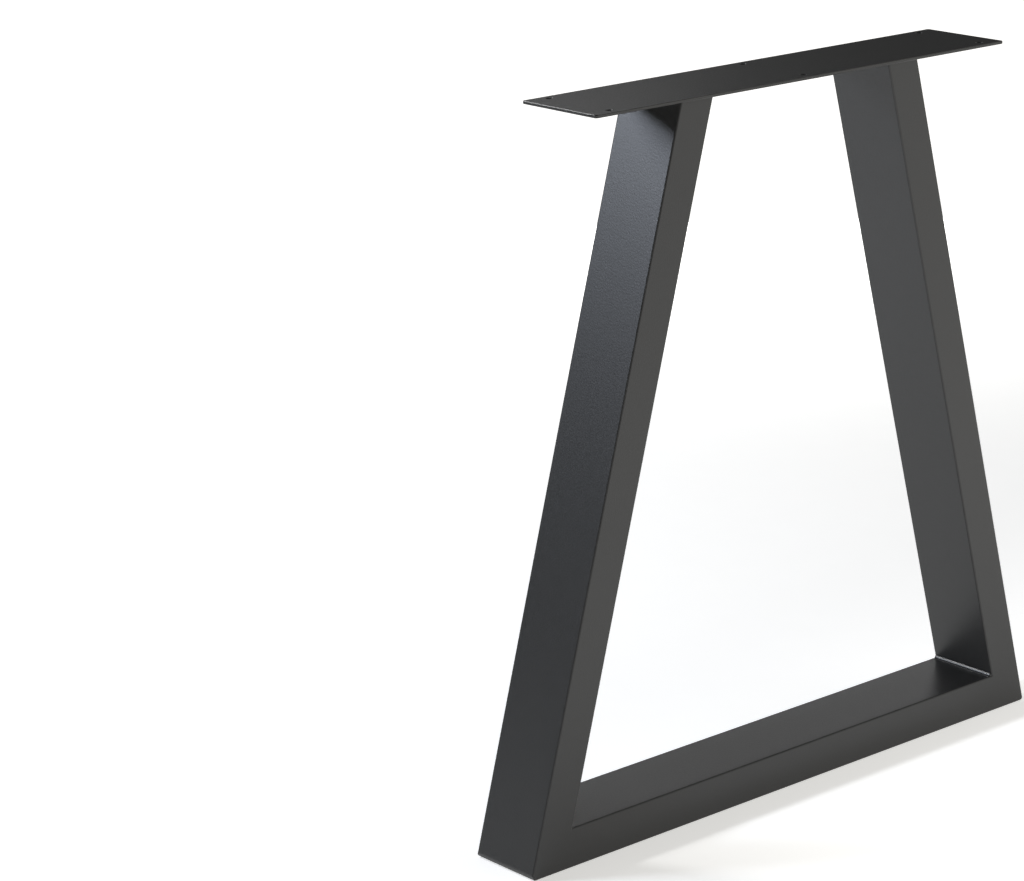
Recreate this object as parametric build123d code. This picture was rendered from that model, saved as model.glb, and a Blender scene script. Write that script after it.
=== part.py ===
"""Trapezoid table leg: a welded frame of rectangular steel tube under a flat, drilled mounting plate.

X runs along the bottom rail, Y through the depth of the tube and Z up. The origin lies on the floor,
under the middle of the leg. The right-hand pieces are drawn, and the left-hand ones mirror them.
"""
import math
import os

from build123d import *

# Overall sizes, in millimetres and degrees
LEG_HEIGHT = 720.0  # floor to the top face of the plate
FOOT_LENGTH = 700.0  # over the rounded outer corners of the bottom rail
UPRIGHT_LEAN = 15.0  # each upright leans inwards from the vertical

# Rectangular tube
TUBE_DEPTH = 80.0  # wide side, across the frame
TUBE_WIDTH = 40.0  # narrow side, in the plane of the frame
TUBE_WALL = 1.5
TUBE_INNER_RADIUS = 0.3  # inside the four bent edges of the tube
MITRE_CORNER_RADIUS = 5.0  # outer bottom corners, ground round after welding

# Mounting plate
PLATE_LENGTH = 550.0
PLATE_DEPTH = 100.0
PLATE_THICKNESS = 3.0
PLATE_CORNER_RADIUS = 3.0
PLATE_EDGE_CHAMFER = 0.5  # along the edges of the plate's outline

# Screw holes, in one row along each long edge of the plate
HOLE_DIAMETER = 6.6  # clearance for M6
HOLE_RIM_CHAMFER = 0.6
HOLES_PER_ROW = 3
HOLE_END_MARGIN = 25.0  # hole centre to the plate's short edge
HOLE_SIDE_MARGIN = 10.0  # hole centre to the plate's long edge

# Fillet welds
CORNER_WELD_LEG = 3.0  # inner bottom corners
PLATE_WELD_LEG = 3.0  # uprights to the underside of the plate
WELD_CROWN = 0.5  # how far a bead bulges past the straight line between its toes
WELD_END_RADIUS = 1.0  # rounded ends of a bead
WELD_END_MARGIN = 0.8  # a bead's end to the narrow side of the tube
WELD_OVERLAP = 0.8  # how far a bead's blank runs on into the metal before it is trimmed to it

# Worked out from the sizes above
LEAN = math.radians(UPRIGHT_LEAN)
FOOT_ANGLE = math.pi / 2 - LEAN  # between the floor and an upright's outer face
TUBE_OUTER_RADIUS = TUBE_INNER_RADIUS + TUBE_WALL
CORNER_TANGENT = MITRE_CORNER_RADIUS / math.tan(FOOT_ANGLE / 2)  # sharp corner to where its rounding starts
SHARP_HALF_LENGTH = FOOT_LENGTH / 2 + CORNER_TANGENT - MITRE_CORNER_RADIUS
PLATE_UNDERSIDE = LEG_HEIGHT - PLATE_THICKNESS
HOLE_PITCH = (PLATE_LENGTH - 2 * HOLE_END_MARGIN) / (HOLES_PER_ROW - 1)
HOLE_ROW_SPACING = PLATE_DEPTH - 2 * HOLE_SIDE_MARGIN
BEAD_LENGTH = TUBE_DEPTH - 2 * WELD_END_MARGIN


def outer_x(z):
    """Distance of an upright's outer face from the middle of the leg, at height z."""
    return SHARP_HALF_LENGTH - z * math.tan(LEAN)


def inner_x(z):
    """Distance of an upright's inner face from the middle of the leg, at height z."""
    return outer_x(z) - TUBE_WIDTH / math.cos(LEAN)


def in_frame(x, z):
    """The point at x and z in the middle plane of the frame."""
    return Vector(x, 0, z)


UP_THE_UPRIGHT = in_frame(-math.sin(LEAN), math.cos(LEAN))
OUT_OF_THE_UPRIGHT = in_frame(math.cos(LEAN), math.sin(LEAN))
FOOT_CORNER = in_frame(SHARP_HALF_LENGTH, 0)
INNER_CORNER = in_frame(inner_x(TUBE_WIDTH), TUBE_WIDTH)
MITRE_LINE = (INNER_CORNER - FOOT_CORNER).normalized()
MITRE = Plane(origin=FOOT_CORNER, x_dir=(0, 1, 0), z_dir=Vector(0, 1, 0).cross(MITRE_LINE))


def mirrored(piece):
    """The left-hand copy of a right-hand piece."""
    return mirror(piece, about=Plane.YZ)


def tube_from(start, along, length):
    """A straight length of the rectangular tube, with its middle line from start in the direction along."""
    section = Plane(origin=start, x_dir=(0, 1, 0), z_dir=along)
    outside = RectangleRounded(TUBE_DEPTH, TUBE_WIDTH, TUBE_OUTER_RADIUS)
    inside = RectangleRounded(TUBE_DEPTH - 2 * TUBE_WALL, TUBE_WIDTH - 2 * TUBE_WALL, TUBE_INNER_RADIUS)
    return extrude(section * (outside - inside), length)


def foot_corner_waste():
    """What grinding takes off the sharp outer corner of the foot, leaving it round."""
    floor_tangent = FOOT_CORNER - Vector(CORNER_TANGENT, 0, 0)
    face_tangent = FOOT_CORNER + UP_THE_UPRIGHT * CORNER_TANGENT
    centre = floor_tangent + Vector(0, 0, MITRE_CORNER_RADIUS)
    crown = centre + (FOOT_CORNER - centre).normalized() * MITRE_CORNER_RADIUS
    below = Vector(0, 0, -MITRE_CORNER_RADIUS)
    beside = OUT_OF_THE_UPRIGHT * MITRE_CORNER_RADIUS
    outline = [
        ThreePointArc(face_tangent, crown, floor_tangent),
        Line(floor_tangent, floor_tangent + below),
        Line(floor_tangent + below, FOOT_CORNER + below + beside),
        Line(FOOT_CORNER + below + beside, face_tangent + beside),
        Line(face_tangent + beside, face_tangent),
    ]
    return extrude(make_face(outline), TUBE_DEPTH, both=True)


def make_upright():
    """The right-hand upright: mitred at the foot, rounded at its outer corner and cut level at the top."""
    foot_middle = FOOT_CORNER - OUT_OF_THE_UPRIGHT * (TUBE_WIDTH / 2)
    start = foot_middle - UP_THE_UPRIGHT * TUBE_WIDTH
    length = LEG_HEIGHT / math.cos(LEAN) + 2 * TUBE_WIDTH
    blank = tube_from(start, UP_THE_UPRIGHT, length)
    mitred = split(blank, bisect_by=MITRE, keep=Keep.TOP)
    level = split(mitred, bisect_by=Plane.XY.offset(PLATE_UNDERSIDE), keep=Keep.BOTTOM)
    return level - foot_corner_waste()


def finish_right_end(rail):
    """The rail with its right-hand end mitred and its outer corner rounded."""
    return split(rail, bisect_by=MITRE, keep=Keep.BOTTOM) - foot_corner_waste()


def make_rail():
    """The bottom rail: mitred at both ends and rounded at both outer corners."""
    start = in_frame(-SHARP_HALF_LENGTH, TUBE_WIDTH / 2)
    blank = tube_from(start, Vector(1, 0, 0), 2 * SHARP_HALF_LENGTH)
    return finish_right_end(mirrored(finish_right_end(blank)))


def make_plate():
    """The mounting plate: rounded corners, chamfered edges and two rows of screw holes."""
    outline = RectangleRounded(PLATE_LENGTH, PLATE_DEPTH, PLATE_CORNER_RADIUS)
    blank = extrude(Plane.XY.offset(PLATE_UNDERSIDE) * outline, PLATE_THICKNESS)
    rims = blank.faces().sort_by(Axis.Z)[0].edges() + blank.faces().sort_by(Axis.Z)[-1].edges()
    plate = chamfer(rims, PLATE_EDGE_CHAMFER)
    drill = Cylinder(HOLE_DIAMETER / 2, PLATE_THICKNESS, align=(Align.CENTER, Align.CENTER, Align.MIN))
    for centre in GridLocations(HOLE_PITCH, HOLE_ROW_SPACING, HOLES_PER_ROW, 2):
        plate -= Pos(0, 0, PLATE_UNDERSIDE) * centre * drill
    hole_rims = plate.edges().filter_by(GeomType.CIRCLE).filter_by(lambda edge: edge.is_closed)
    return chamfer(hole_rims, HOLE_RIM_CHAMFER)


def fillet_bead(corner, first_face, second_face, leg, metal):
    """A weld bead along Y in the corner between two faces, which run from it in the two given directions.

    Its section has one leg on each face and a bulging third side. Its blank runs on a little way into the
    metal and is trimmed to it, so that the rounded ends also fill the tube's rounded edges.
    """
    first_toe = corner + first_face * leg
    second_toe = corner + second_face * leg
    middle = (first_toe + second_toe) * 0.5
    outwards = (middle - corner).normalized()
    along = (second_toe - first_toe).normalized()
    half_chord = (second_toe - first_toe).length / 2
    radius = (half_chord**2 + WELD_CROWN**2) / (2 * WELD_CROWN)
    crown = middle + outwards * WELD_CROWN
    centre = crown - outwards * radius
    first_end = centre + (first_toe - along * WELD_OVERLAP - centre).normalized() * radius
    second_end = centre + (second_toe + along * WELD_OVERLAP - centre).normalized() * radius
    root = corner - outwards * WELD_OVERLAP
    outline = [
        Line(root, first_end),
        ThreePointArc(first_end, crown, second_end),
        Line(second_end, root),
    ]
    blank = extrude(make_face(outline), BEAD_LENGTH / 2, both=True)
    end_arcs = blank.edges().filter_by(GeomType.CIRCLE)
    bead = fillet(end_arcs, WELD_END_RADIUS)
    for piece in metal:
        bead = bead - piece
    return bead


def make_plate_welds(metal):
    """The two beads that hold the right-hand upright to the plate, outside and inside it."""
    down_the_upright = UP_THE_UPRIGHT * -1
    outside = in_frame(outer_x(PLATE_UNDERSIDE), PLATE_UNDERSIDE)
    inside = in_frame(inner_x(PLATE_UNDERSIDE), PLATE_UNDERSIDE)
    return [
        fillet_bead(outside, Vector(1, 0, 0), down_the_upright, PLATE_WELD_LEG, metal),
        fillet_bead(inside, Vector(-1, 0, 0), down_the_upright, PLATE_WELD_LEG, metal),
    ]


plate = make_plate()
upright = make_upright()
rail = make_rail()
corner_weld = fillet_bead(INNER_CORNER, Vector(-1, 0, 0), UP_THE_UPRIGHT, CORNER_WELD_LEG, [rail, upright])
plate_welds = make_plate_welds([plate, upright])

NODES = {
    "top_plate": [plate],
    "left_upright": [mirrored(upright)],
    "right_upright": [upright],
    "bottom_rail": [rail],
    "left_corner_weld": [mirrored(corner_weld)],
    "right_corner_weld": [corner_weld],
    "left_plate_welds": [mirrored(bead) for bead in plate_welds],
    "right_plate_welds": plate_welds,
}

os.makedirs("parts", exist_ok=True)
for name, pieces in NODES.items():
    solids = [solid for piece in pieces for solid in piece.solids()]
    export_step(Compound(solids) if len(solids) > 1 else solids[0], f"parts/{name}.step")
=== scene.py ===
"""Dresses the welded trapezoid table leg: charcoal powder coat, rippled weld beads and a pale studio.

X runs along the bottom rail, Y through the depth of the tube and Z up, in metres, with the origin on the
floor under the middle of the leg. The tubes and the mounting plate keep their own solids and get the coat.
The weld beads are drawn again with the ripples that a weld has, in the corners where their solids lie.
"""
import logging
import math
from dataclasses import dataclass
from enum import Enum
from typing import Any

import bpy
import numpy as np
from mathutils import Matrix, Vector


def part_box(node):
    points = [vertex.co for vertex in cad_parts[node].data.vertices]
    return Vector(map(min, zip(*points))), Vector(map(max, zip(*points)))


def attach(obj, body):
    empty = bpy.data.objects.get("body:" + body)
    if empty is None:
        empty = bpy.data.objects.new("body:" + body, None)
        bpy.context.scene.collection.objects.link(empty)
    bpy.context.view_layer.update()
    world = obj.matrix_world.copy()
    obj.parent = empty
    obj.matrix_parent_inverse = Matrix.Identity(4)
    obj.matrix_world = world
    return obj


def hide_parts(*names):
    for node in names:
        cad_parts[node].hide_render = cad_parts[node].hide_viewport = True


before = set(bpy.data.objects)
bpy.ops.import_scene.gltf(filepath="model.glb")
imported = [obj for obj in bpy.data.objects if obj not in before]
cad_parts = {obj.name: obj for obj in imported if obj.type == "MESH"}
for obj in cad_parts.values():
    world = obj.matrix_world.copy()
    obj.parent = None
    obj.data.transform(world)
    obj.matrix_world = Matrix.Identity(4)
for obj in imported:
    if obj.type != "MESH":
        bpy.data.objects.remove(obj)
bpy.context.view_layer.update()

LOG = logging.getLogger("table_leg")
MM = 0.001
BODY = "root"


class Side(Enum):
    """The two sides of the leg, with the direction of each along X."""

    LEFT = -1.0
    RIGHT = 1.0

    @property
    def word(self) -> str:
        """The side's name as the nodes spell it."""
        return self.name.lower()


def linear(hex_colour: str) -> tuple[float, float, float, float]:
    """Turns an sRGB hex colour into linear red, green, blue and alpha, by the curve of the sRGB standard.

    Args:
        hex_colour: a colour such as "#202122".

    Returns:
        The four linear values, with an alpha of one.
    """
    digits = hex_colour.lstrip("#")
    srgb = np.array([int(digits[start:start + 2], 16) for start in (0, 2, 4)]) / 255
    rgb = np.where(srgb <= 0.04045, srgb / 12.92, ((srgb + 0.055) / 1.055) ** 2.4)
    return (*rgb.tolist(), 1.0)


def add_node(
    tree: bpy.types.NodeTree,
    kind: str,
    settings: dict[str, Any] | None = None,
    links: dict[str, bpy.types.NodeSocket] | None = None,
) -> bpy.types.Node:
    """Adds a node, sets its values and links its inputs.

    Args:
        tree: the node tree that takes it.
        kind: the node's Blender type.
        settings: values by the name of an input, or of a property where no input has that name.
        links: the sockets that feed the node, by the name of the input that each one goes to.

    Returns:
        The new node.
    """
    node = tree.nodes.new(kind)
    for name, value in (settings or {}).items():
        if name in node.inputs:
            node.inputs[name].default_value = value
        else:
            setattr(node, name, value)
    for name, socket in (links or {}).items():
        tree.links.new(socket, node.inputs[name])
    return node


def empty_material(name: str) -> tuple[bpy.types.Material, bpy.types.NodeTree]:
    """Makes a node material with nothing in it.

    Args:
        name: the material's name.

    Returns:
        The material and its node tree.
    """
    material = bpy.data.materials.new(name)
    material.use_nodes = True
    material.node_tree.nodes.clear()
    return material, material.node_tree


@dataclass(frozen=True)
class PowderCoat:
    """Fine-texture polyester powder coat, sprayed on steel as dry grains and baked.

    The grains melt together but not quite flat, so the eye gets a semi-matt charcoal with a fine speckle
    where a light glances off it, over the slow waves that are called orange peel.
    """

    name: str = "fine_texture_powder_coat"
    deep: str = "#1e1e1e"
    pale: str = "#222221"
    roughness: float = 0.37
    roughness_spread: float = 0.05
    ior: float = 1.5
    grain_mm: float = 1.6  # about 0.8 on the real coat, drawn coarser so that it shows
    grain_height_mm: float = 0.055
    grain_detail: float = 0.0  # finer layers of noise within each pattern
    peel_mm: float = 7.0
    peel_height_mm: float = 0.012
    peel_detail: float = 1.0
    cloud_mm: float = 60.0
    cloud_detail: float = 2.0
    layer_strength: float = 0.6  # of each finer layer against the one before

    def build(self) -> bpy.types.Material:
        """Makes the coat's material.

        Returns:
            The material, with its patterns in the part's own coordinates.
        """
        material, tree = empty_material(self.name)
        place = add_node(tree, "ShaderNodeTexCoord").outputs["Object"]
        patterns = (
            (self.grain_mm, self.grain_detail),
            (self.peel_mm, self.peel_detail),
            (self.cloud_mm, self.cloud_detail),
        )
        grain, peel, cloud = (
            add_node(
                tree,
                "ShaderNodeTexNoise",
                {"Scale": 1 / (size * MM), "Detail": detail, "Roughness": self.layer_strength},
                {"Vector": place},
            ).outputs["Fac"]
            for size, detail in patterns
        )
        waves = add_node(
            tree,
            "ShaderNodeBump",
            {"Distance": self.peel_height_mm * MM, "Strength": 1.0},
            {"Height": peel},
        )
        grains = add_node(
            tree,
            "ShaderNodeBump",
            {"Distance": self.grain_height_mm * MM, "Strength": 1.0},
            {"Height": grain, "Normal": waves.outputs["Normal"]},
        )
        colour = add_node(tree, "ShaderNodeValToRGB", links={"Fac": cloud})
        for stop, shade in zip(colour.color_ramp.elements, (self.deep, self.pale)):
            stop.color = linear(shade)
        gloss = add_node(
            tree,
            "ShaderNodeMapRange",
            {
                "To Min": self.roughness - self.roughness_spread,
                "To Max": self.roughness + self.roughness_spread,
            },
            {"Value": grain},
        )
        coat = add_node(
            tree,
            "ShaderNodeBsdfPrincipled",
            {"IOR": self.ior},
            {
                "Base Color": colour.outputs["Color"],
                "Roughness": gloss.outputs["Result"],
                "Normal": grains.outputs["Normal"],
            },
        )
        add_node(tree, "ShaderNodeOutputMaterial", links={"Surface": coat.outputs["BSDF"]})
        return material


@dataclass(frozen=True)
class GlowStep:
    """One change of a glow, which passes to a new strength along a bearing.

    Attributes:
        bearing: the direction it goes along, in degrees from straight behind, towards the right.
        start: where along it the glow begins to change, in metres on the floor. On a wall it is the cosine
            of the angle from the bearing.
        end: where the glow has reached the new strength, measured in the same way.
        strength: the new strength, where one is the brightness of white.
    """

    bearing: float
    start: float
    end: float
    strength: float

    def add(
        self,
        tree: bpy.types.NodeTree,
        place: bpy.types.NodeSocket,
        before: float | bpy.types.NodeSocket,
    ) -> bpy.types.NodeSocket:
        """Adds the nodes of the change.

        Args:
            tree: the node tree that takes them.
            place: the place on the floor, or the direction of a wall.
            before: the strength before the change, as a number or as another change's socket.

        Returns:
            The socket with the strength after the change.
        """
        turn = (0.0, 0.0, math.radians(self.bearing))
        turned = add_node(tree, "ShaderNodeMapping", {"Rotation": turn}, {"Vector": place})
        reach = add_node(tree, "ShaderNodeSeparateXYZ", links={"Vector": turned.outputs["Vector"]})
        settings: dict[str, Any] = {
            "interpolation_type": "SMOOTHSTEP",
            "From Min": self.start,
            "From Max": self.end,
            "To Max": self.strength,
        }
        links = {"Value": reach.outputs["Y"]}
        if isinstance(before, float):
            settings["To Min"] = before
        else:
            links["To Min"] = before
        return add_node(tree, "ShaderNodeMapRange", settings, links).outputs["Result"]


@dataclass(frozen=True)
class StudioPaper:
    """Matt white background paper with a painted glow: it gives off light though it is no lamp, so that it
    stays white.

    The painted glow is least far behind on the left, where the left upright's outer face mirrors it, and
    strongest in front of the leg, where it lifts the leg's shadow and lights the leg's front faces by
    reflection.
    """

    name: str = "white_paper_with_painted_glow"
    pale: str = "#f4f4f3"
    bright: str = "#f8f8f7"
    fibre_mm: float = 40.0
    roughness: float = 0.9
    glow: str = "#fffefb"
    # Painted light: the steps of the paper's own glow, which lifts the leg's shadow in front of it and
    # lights the leg's faces where they mirror the paper
    painted_glow_steps: tuple[GlowStep, ...] = (
        GlowStep(132.0, -2.2, -0.6, 0.4),  # from nothing far behind on the left to a low glow by the leg
        GlowStep(172.0, -0.32, 0.78, 1.06),  # in front of the leg
        GlowStep(42.0, 1.0, 3.2, 1.0),  # far behind on the right
        GlowStep(-135.0, 0.8, 2.5, 1.0),  # in front on the left
    )

    def build(self) -> bpy.types.Material:
        """Makes the paper's material.

        Returns:
            The material.
        """
        material, tree = empty_material(self.name)
        place = add_node(tree, "ShaderNodeTexCoord").outputs["Object"]
        fibre = add_node(
            tree, "ShaderNodeTexNoise", {"Scale": 1 / (self.fibre_mm * MM)}, {"Vector": place}
        )
        colour = add_node(tree, "ShaderNodeValToRGB", links={"Fac": fibre.outputs["Fac"]})
        for stop, shade in zip(colour.color_ramp.elements, (self.pale, self.bright)):
            stop.color = linear(shade)
        # Painted glow: the paper's emission strength, built up one step after another
        strength: float | bpy.types.NodeSocket = 0.0
        for step in self.painted_glow_steps:
            strength = step.add(tree, place, strength)
        paper = add_node(
            tree,
            "ShaderNodeBsdfPrincipled",
            {
                "Roughness": self.roughness,
                "Specular IOR Level": 0.0,
                "Emission Color": linear(self.glow),
            },
            {"Base Color": colour.outputs["Color"], "Emission Strength": strength},
        )
        add_node(tree, "ShaderNodeOutputMaterial", links={"Surface": paper.outputs["BSDF"]})
        return material


def closed_mesh(name: str, shells: list[np.ndarray]) -> bpy.types.Mesh:
    """Joins closed tubes of rings into one mesh, each drawn in to a pole at its first and last ring.

    Args:
        name: the mesh's name.
        shells: one array for each tube, of shape (rings, points round a ring, 3). Every point of a tube's
            first ring is the same, and so is every point of its last ring.

    Returns:
        The mesh, smooth shaded, with a single vertex at each pole.
    """
    vertices: list[np.ndarray] = []
    faces: list[list[int]] = []
    start = 0
    for shell in shells:
        rings, around = shell.shape[0] - 2, shell.shape[1]
        body = shell[1:-1].reshape(-1, 3)
        vertices.append(np.vstack([body, shell[0, :1], shell[-1, :1]]))
        index = start + np.arange(rings * around).reshape(rings, around)
        following = np.roll(index, -1, axis=1)
        quads = np.stack([index[:-1], following[:-1], following[1:], index[1:]], axis=-1)
        first_pole, last_pole = start + rings * around, start + rings * around + 1
        near = np.stack([np.full(around, first_pole), following[0], index[0]], axis=-1)
        far = np.stack([np.full(around, last_pole), index[-1], following[-1]], axis=-1)
        faces += quads.reshape(-1, 4).tolist() + near.tolist() + far.tolist()
        start += rings * around + 2
    mesh = bpy.data.meshes.new(name)
    mesh.from_pydata(np.vstack(vertices).tolist(), [], faces)
    mesh.polygons.foreach_set("use_smooth", np.ones(len(mesh.polygons), bool))
    mesh.update()
    return mesh


@dataclass
class FilletBead:
    """One fillet weld bead, along Y in the corner between two faces. Sizes are in metres.

    Attributes:
        corner: the corner's place in X and Z.
        first_face: unit direction in X and Z from the corner along the first face.
        second_face: the same along the second face.
        leg: from the corner to each toe of the bead.
        length: along Y, from end to end.
        crown: how far the bead bulges past the straight line between its toes.
        ripple_pitch: from one ridge to the next.
        ripple_height: from a hollow to a ridge.
        ripple_bow: how far a ridge is set back at the toes.
        root_depth: from the corner into the metal, so that the bead also fills the tube's rounded edges.
        end_length: over which each end is drawn in.
        rings: sections along the bead.
        points_across: points on the outer side of a section.
    """

    corner: np.ndarray
    first_face: np.ndarray
    second_face: np.ndarray
    leg: float
    length: float
    crown: float = 0.5 * MM
    ripple_pitch: float = 2.1 * MM
    ripple_height: float = 0.02 * MM
    ripple_bow: float = 1.6 * MM
    root_depth: float = 0.6 * MM
    end_length: float = 1.2 * MM
    rings: int = 400
    points_across: int = 21

    def section(self) -> tuple[np.ndarray, np.ndarray, np.ndarray]:
        """Works out the bead's outer side, as an arc from toe to toe.

        It rises past the middle of its chord by the crown. Half the chord and the crown give the arc's
        radius, and its points are spaced evenly by angle.

        Returns:
            The points from the corner, in X and Z, the outward direction at each, and each one's place
            across the bead from -1 to 1.
        """
        first_toe, second_toe = self.first_face * self.leg, self.second_face * self.leg
        middle = (first_toe + second_toe) / 2
        outward = middle / np.linalg.norm(middle)
        along_chord = (second_toe - first_toe) / np.linalg.norm(second_toe - first_toe)
        half_chord = np.linalg.norm(second_toe - first_toe) / 2
        radius = (half_chord**2 + self.crown**2) / (2 * self.crown)
        centre = middle + outward * (self.crown - radius)
        across = np.linspace(-1, 1, self.points_across)
        angle = across * math.asin(half_chord / radius)
        direction = np.outer(np.sin(angle), along_chord) + np.outer(np.cos(angle), outward)
        return centre + radius * direction, direction, across

    def surface(self) -> np.ndarray:
        """Carries the section along Y, with crescent ripples on it and both ends drawn in to the root.

        A ripple is the absolute sine of the place along the bead, less a half, so that it swings about the
        section. It is set back by the square of the place across the bead, so that each ridge bows like a
        moon, and it dies out at the toes. The root lies behind the corner, in the metal, and the size of the
        section about it follows a quarter ellipse over the end length.

        Returns:
            The rings, of shape (rings, points across + 1, 3), the root being each ring's last point.
        """
        section, direction, across = self.section()
        inward = -(self.first_face + self.second_face)
        root = self.root_depth * inward / np.linalg.norm(inward)
        half = self.length / 2
        place = np.linspace(-half, half, self.rings)
        into_end = np.clip((np.abs(place) - half + self.end_length) / self.end_length, 0, 1)
        size = np.sqrt(1 - into_end**2)
        set_back = place[:, None] + self.ripple_bow * across[None, :] ** 2
        ripple = np.abs(np.sin(math.pi * set_back / self.ripple_pitch)) - 0.5
        lift = self.ripple_height * ripple * (1 - across[None, :] ** 2)
        drawn = size[:, None, None] * (section[None] + lift[..., None] * direction[None] - root)
        rings = np.zeros((self.rings, self.points_across + 1, 3))
        rings[:, :-1, 0::2] = drawn
        rings[:, :, 0::2] += self.corner + root
        rings[:, :, 1] = place[:, None]
        return rings


@dataclass
class WeldBeads:
    """The beads in the inner bottom corners and under the plate. Sizes are in metres and degrees.

    Attributes:
        coat: the material of the beads.
        upright_lean: how far each upright leans in from the vertical.
        corner_leg: from an inner bottom corner to each toe of its bead.
        plate_leg: the same for the beads under the plate.
    """

    coat: bpy.types.Material
    upright_lean: float = 15.0
    corner_leg: float = 3.0 * MM
    plate_leg: float = 3.0 * MM

    def up_the_upright(self, side: Side) -> np.ndarray:
        """The direction up an upright, in X and Z."""
        lean = math.radians(self.upright_lean)
        return np.array([-side.value * math.sin(lean), math.cos(lean)])

    def outward_first(self, bead: FilletBead) -> FilletBead:
        """Orders the bead's two faces so that the faces of its mesh point outwards.

        Args:
            bead: a bead whose faces are in either order.

        Returns:
            The same bead, with its faces swapped where they turn the wrong way round.
        """
        turn = bead.first_face[0] * bead.second_face[1] - bead.first_face[1] * bead.second_face[0]
        if turn > 0:
            bead.first_face, bead.second_face = bead.second_face, bead.first_face
        return bead

    def corner_bead(self, side: Side) -> list[FilletBead]:
        """The bead between the rail's top face and an upright's inner face.

        Args:
            side: the side of the leg.

        Returns:
            A list of that one bead.
        """
        low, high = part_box(f"{side.word}_corner_weld")
        toe_x = low.x if side is Side.RIGHT else high.x
        corner = np.array([toe_x + side.value * self.corner_leg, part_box("bottom_rail")[1].z])
        along_rail = np.array([-side.value, 0.0])
        bead = FilletBead(corner, along_rail, self.up_the_upright(side), self.corner_leg, high.y - low.y)
        return [self.outward_first(bead)]

    def plate_beads(self, side: Side) -> list[FilletBead]:
        """The beads that hold an upright to the underside of the plate.

        Args:
            side: the side of the leg.

        Returns:
            The beads on the upright's two wide faces.
        """
        low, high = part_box(f"{side.word}_plate_welds")
        beads = []
        for toe_x, direction in ((high.x, 1.0), (low.x, -1.0)):
            corner = np.array([toe_x - direction * self.plate_leg, high.z])
            along_plate = np.array([direction, 0.0])
            down = -self.up_the_upright(side)
            bead = FilletBead(corner, along_plate, down, self.plate_leg, high.y - low.y)
            beads.append(self.outward_first(bead))
        return beads

    def add(self, name: str, node: str, beads: list[FilletBead]) -> bpy.types.Object:
        """Makes one piece of some beads, coats it and puts it in its node's place.

        Args:
            name: the piece's name.
            node: the node that the piece stands for.
            beads: the beads in it.

        Returns:
            The new piece.
        """
        piece = bpy.data.objects.new(name, closed_mesh(name, [bead.surface() for bead in beads]))
        bpy.context.scene.collection.objects.link(piece)
        piece.data.materials.append(self.coat)
        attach(piece, BODY)
        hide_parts(node)
        return piece

    def build(self) -> list[bpy.types.Object]:
        """Makes the beads of both sides.

        Returns:
            The new pieces.
        """
        pieces = []
        for side in Side:
            pieces.append(
                self.add(f"{side.word}_corner_bead", f"{side.word}_corner_weld", self.corner_bead(side))
            )
            pieces.append(
                self.add(f"{side.word}_plate_beads", f"{side.word}_plate_welds", self.plate_beads(side))
            )
        return pieces


@dataclass
class SteelFrame:
    """The tubes and the mounting plate, which keep their own solids."""

    coat: bpy.types.Material
    nodes: tuple[str, ...] = ("top_plate", "left_upright", "right_upright", "bottom_rail")

    def dress(self) -> list[bpy.types.Object]:
        """Coats each solid.

        Returns:
            The coated objects.
        """
        dressed = []
        for name in self.nodes:
            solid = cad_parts[name]
            solid.data.materials.clear()
            solid.data.materials.append(self.coat)
            dressed.append(solid)
        return dressed


@dataclass(frozen=True)
class SoftBox:
    """A rectangular studio light, turned to the leg's middle line. Sizes are in metres.

    Attributes:
        name: the light's name.
        bearing: where it stands round the leg, in degrees from straight behind, towards the right.
        distance: from the middle of the leg, along the floor.
        height: of its own middle, above the floor.
        aim_height: of the point on the leg's middle line that it is turned to.
        size: its width and height.
        brightness: the radiance of its cloth.
        colour: the colour of its light.
    """

    name: str
    bearing: float
    distance: float
    height: float
    aim_height: float
    size: tuple[float, float]
    brightness: float
    colour: str

    def build(self) -> bpy.types.Object:
        """Hangs the light and turns it to the leg. A lamp's power is its radiance times its area times pi.

        Returns:
            The light's object.
        """
        lamp = bpy.data.lights.new(self.name, "AREA")
        lamp.shape = "RECTANGLE"
        lamp.size, lamp.size_y = self.size
        lamp.energy = math.pi * self.size[0] * self.size[1] * self.brightness
        lamp.color = linear(self.colour)[:3]
        light = bpy.data.objects.new(self.name, lamp)
        turn = math.radians(self.bearing)
        away = Vector((math.sin(turn), math.cos(turn), 0.0))
        light.location = away * self.distance + Vector((0.0, 0.0, self.height))
        facing = Vector((0.0, 0.0, self.aim_height)) - light.location
        light.rotation_euler = facing.to_track_quat("-Z", "Y").to_euler()
        light.visible_camera = False
        bpy.context.scene.collection.objects.link(light)
        return light


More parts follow.
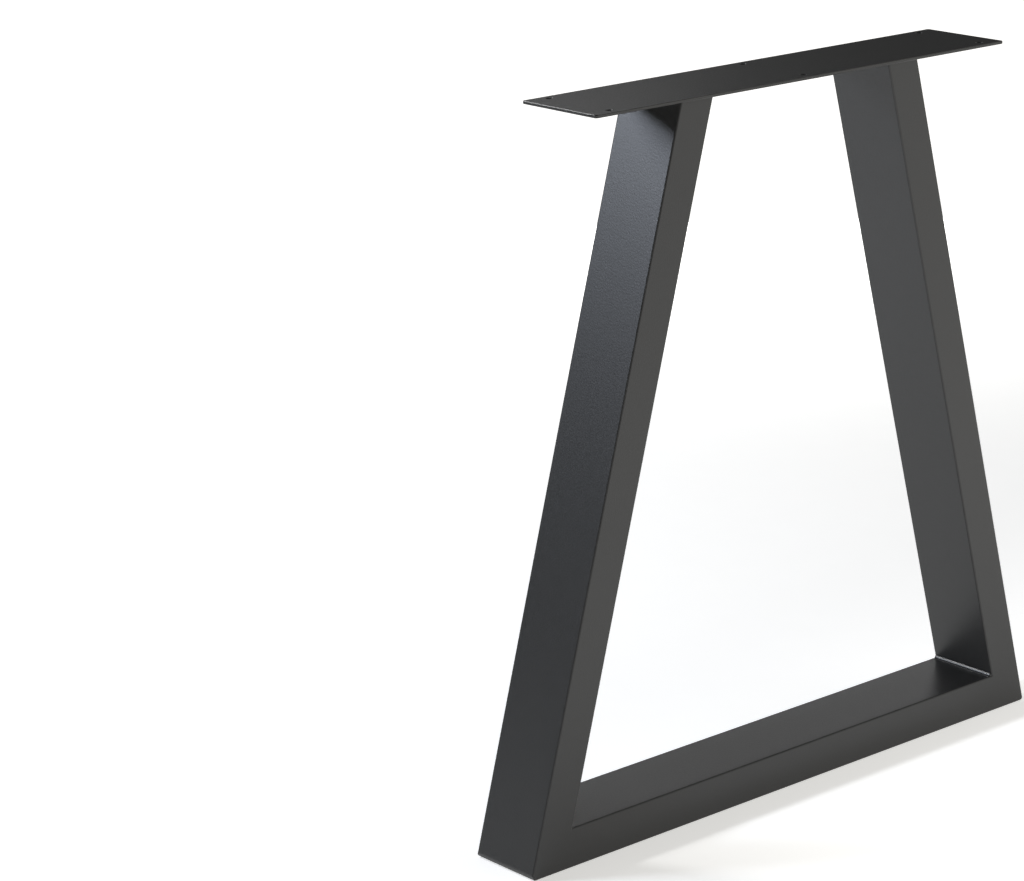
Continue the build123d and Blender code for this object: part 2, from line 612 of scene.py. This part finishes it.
@dataclass
class Studio:
    """White paper on the floor of a dim room with two paler walls, and the soft boxes. Sizes are in metres.

    Attributes:
        paper: the floor's material.
        floor_half: half the length of the square floor's sides.
        floor_drop: from the rail down to the paper.
        wall: the colour of the room.
        dim: the strength of the room's own light, where one is the brightness of white.
        walls: where the room grows paler.
        boxes: the lights.
    """

    paper: bpy.types.Material
    floor_half: float = 15.0
    floor_drop: float = 0.2 * MM
    wall: str = "#fffdf8"
    dim: float = 0.0116
    walls: tuple[GlowStep, ...] = (
        GlowStep(-160.0, 0.5, 1.0, 0.3),  # in front
        GlowStep(118.0, 0.45, 0.8, 0.86),  # on the right, mirrored by the rail's upper front edge
    )
    boxes: tuple[SoftBox, ...] = (
        SoftBox("left_key_box", -51.5, 2.5, 1.65, 1.65, (0.69, 0.9), 26.0, "#e8f0ff"),
        SoftBox("low_back_box", 38.5, 2.5, 0.25, 0.25, (1.82, 0.5), 3.8, "#ffffff"),
        SoftBox("rim_box", -35.5, 2.62, 2.12, 0.1, (0.45, 0.45), 12.0, "#ffffff"),
        SoftBox("top_back_box", -20.0, 2.78, 3.07, 0.7, (0.45, 0.45), 60.0, "#ffffff"),
        SoftBox("high_back_box", 31.5, 2.5, 2.1, 2.1, (0.96, 1.0), 1.38, "#ffffff"),
        SoftBox("right_back_box", 55.0, 2.5, 1.8, 1.8, (0.9, 1.0), 0.12, "#ffffff"),
    )

    def lay_floor(self) -> bpy.types.Object:
        """Lays the paper as one flat sheet just under the rail.

        Returns:
            The floor's object.
        """
        half, level = self.floor_half, -self.floor_drop
        corners = [(x * half, y * half, level) for x, y in ((-1, -1), (1, -1), (1, 1), (-1, 1))]
        mesh = bpy.data.meshes.new("paper_floor")
        mesh.from_pydata(corners, [], [(0, 1, 2, 3)])
        floor = bpy.data.objects.new("paper_floor", mesh)
        bpy.context.scene.collection.objects.link(floor)
        mesh.materials.append(self.paper)
        return floor

    def surround(self) -> None:
        """Surrounds the floor with the dim room, which passes into its paler walls."""
        world = bpy.data.worlds.new("dim_studio")
        world.use_nodes = True
        tree = world.node_tree
        tree.nodes.clear()
        direction = add_node(tree, "ShaderNodeTexCoord").outputs["Generated"]
        strength: float | bpy.types.NodeSocket = self.dim
        for wall in self.walls:
            strength = wall.add(tree, direction, strength)
        backdrop = add_node(
            tree, "ShaderNodeBackground", {"Color": linear(self.wall)}, {"Strength": strength}
        )
        add_node(tree, "ShaderNodeOutputWorld", links={"Surface": backdrop.outputs["Background"]})
        bpy.context.scene.world = world

    def build(self) -> list[bpy.types.Object]:
        """Sets up the whole studio.

        Returns:
            The floor and the lights.
        """
        self.surround()
        return [self.lay_floor(), *(box.build() for box in self.boxes)]


@dataclass(frozen=True)
class ViewCamera:
    """The camera, at the photograph's place and angle. Places are in metres and the roll is in degrees."""

    place: tuple[float, float, float] = (-2.2728, -2.2180, 1.2944)
    aim: tuple[float, float, float] = (-0.3349, 0.0, 0.4203)
    roll: float = -0.66
    lens_mm: float = 118.27
    sensor_mm: float = 36.0
    nearest: float = 0.1
    farthest: float = 100.0

    def build(self) -> bpy.types.Object:
        """Sets the camera up and makes it the scene's own.

        Returns:
            The camera's object.
        """
        optics = bpy.data.cameras.new("view_camera")
        optics.lens, optics.sensor_width = self.lens_mm, self.sensor_mm
        optics.clip_start, optics.clip_end = self.nearest, self.farthest
        camera = bpy.data.objects.new("view_camera", optics)
        bpy.context.scene.collection.objects.link(camera)
        look = (Vector(self.aim) - Vector(self.place)).to_track_quat("-Z", "Y").to_matrix().to_4x4()
        turned = look @ Matrix.Rotation(math.radians(self.roll), 4, "Z")
        camera.matrix_world = Matrix.Translation(self.place) @ turned
        bpy.context.scene.camera = camera
        return camera


def main() -> None:
    """Builds the coat, the frame, the beads, the studio and the camera in order, and reports each piece."""
    logging.basicConfig(level=logging.INFO, format="%(name)s: %(message)s")
    bpy.context.scene.view_settings.view_transform = "Standard"
    for solid in SteelFrame(PowderCoat().build()).dress():
        LOG.info("coated %s", solid.name)
    # The powder melts smoother over a weld
    bead_coat = PowderCoat("powder_coat_over_weld", roughness=0.3, grain_height_mm=0.01)
    for piece in WeldBeads(bead_coat.build()).build():
        LOG.info("made %s with %d faces", piece.name, len(piece.data.polygons))
    for prop in Studio(StudioPaper().build()).build():
        LOG.info("set up %s", prop.name)
    LOG.info("set up %s", ViewCamera().build().name)


if __name__ == "__main__":
    main()
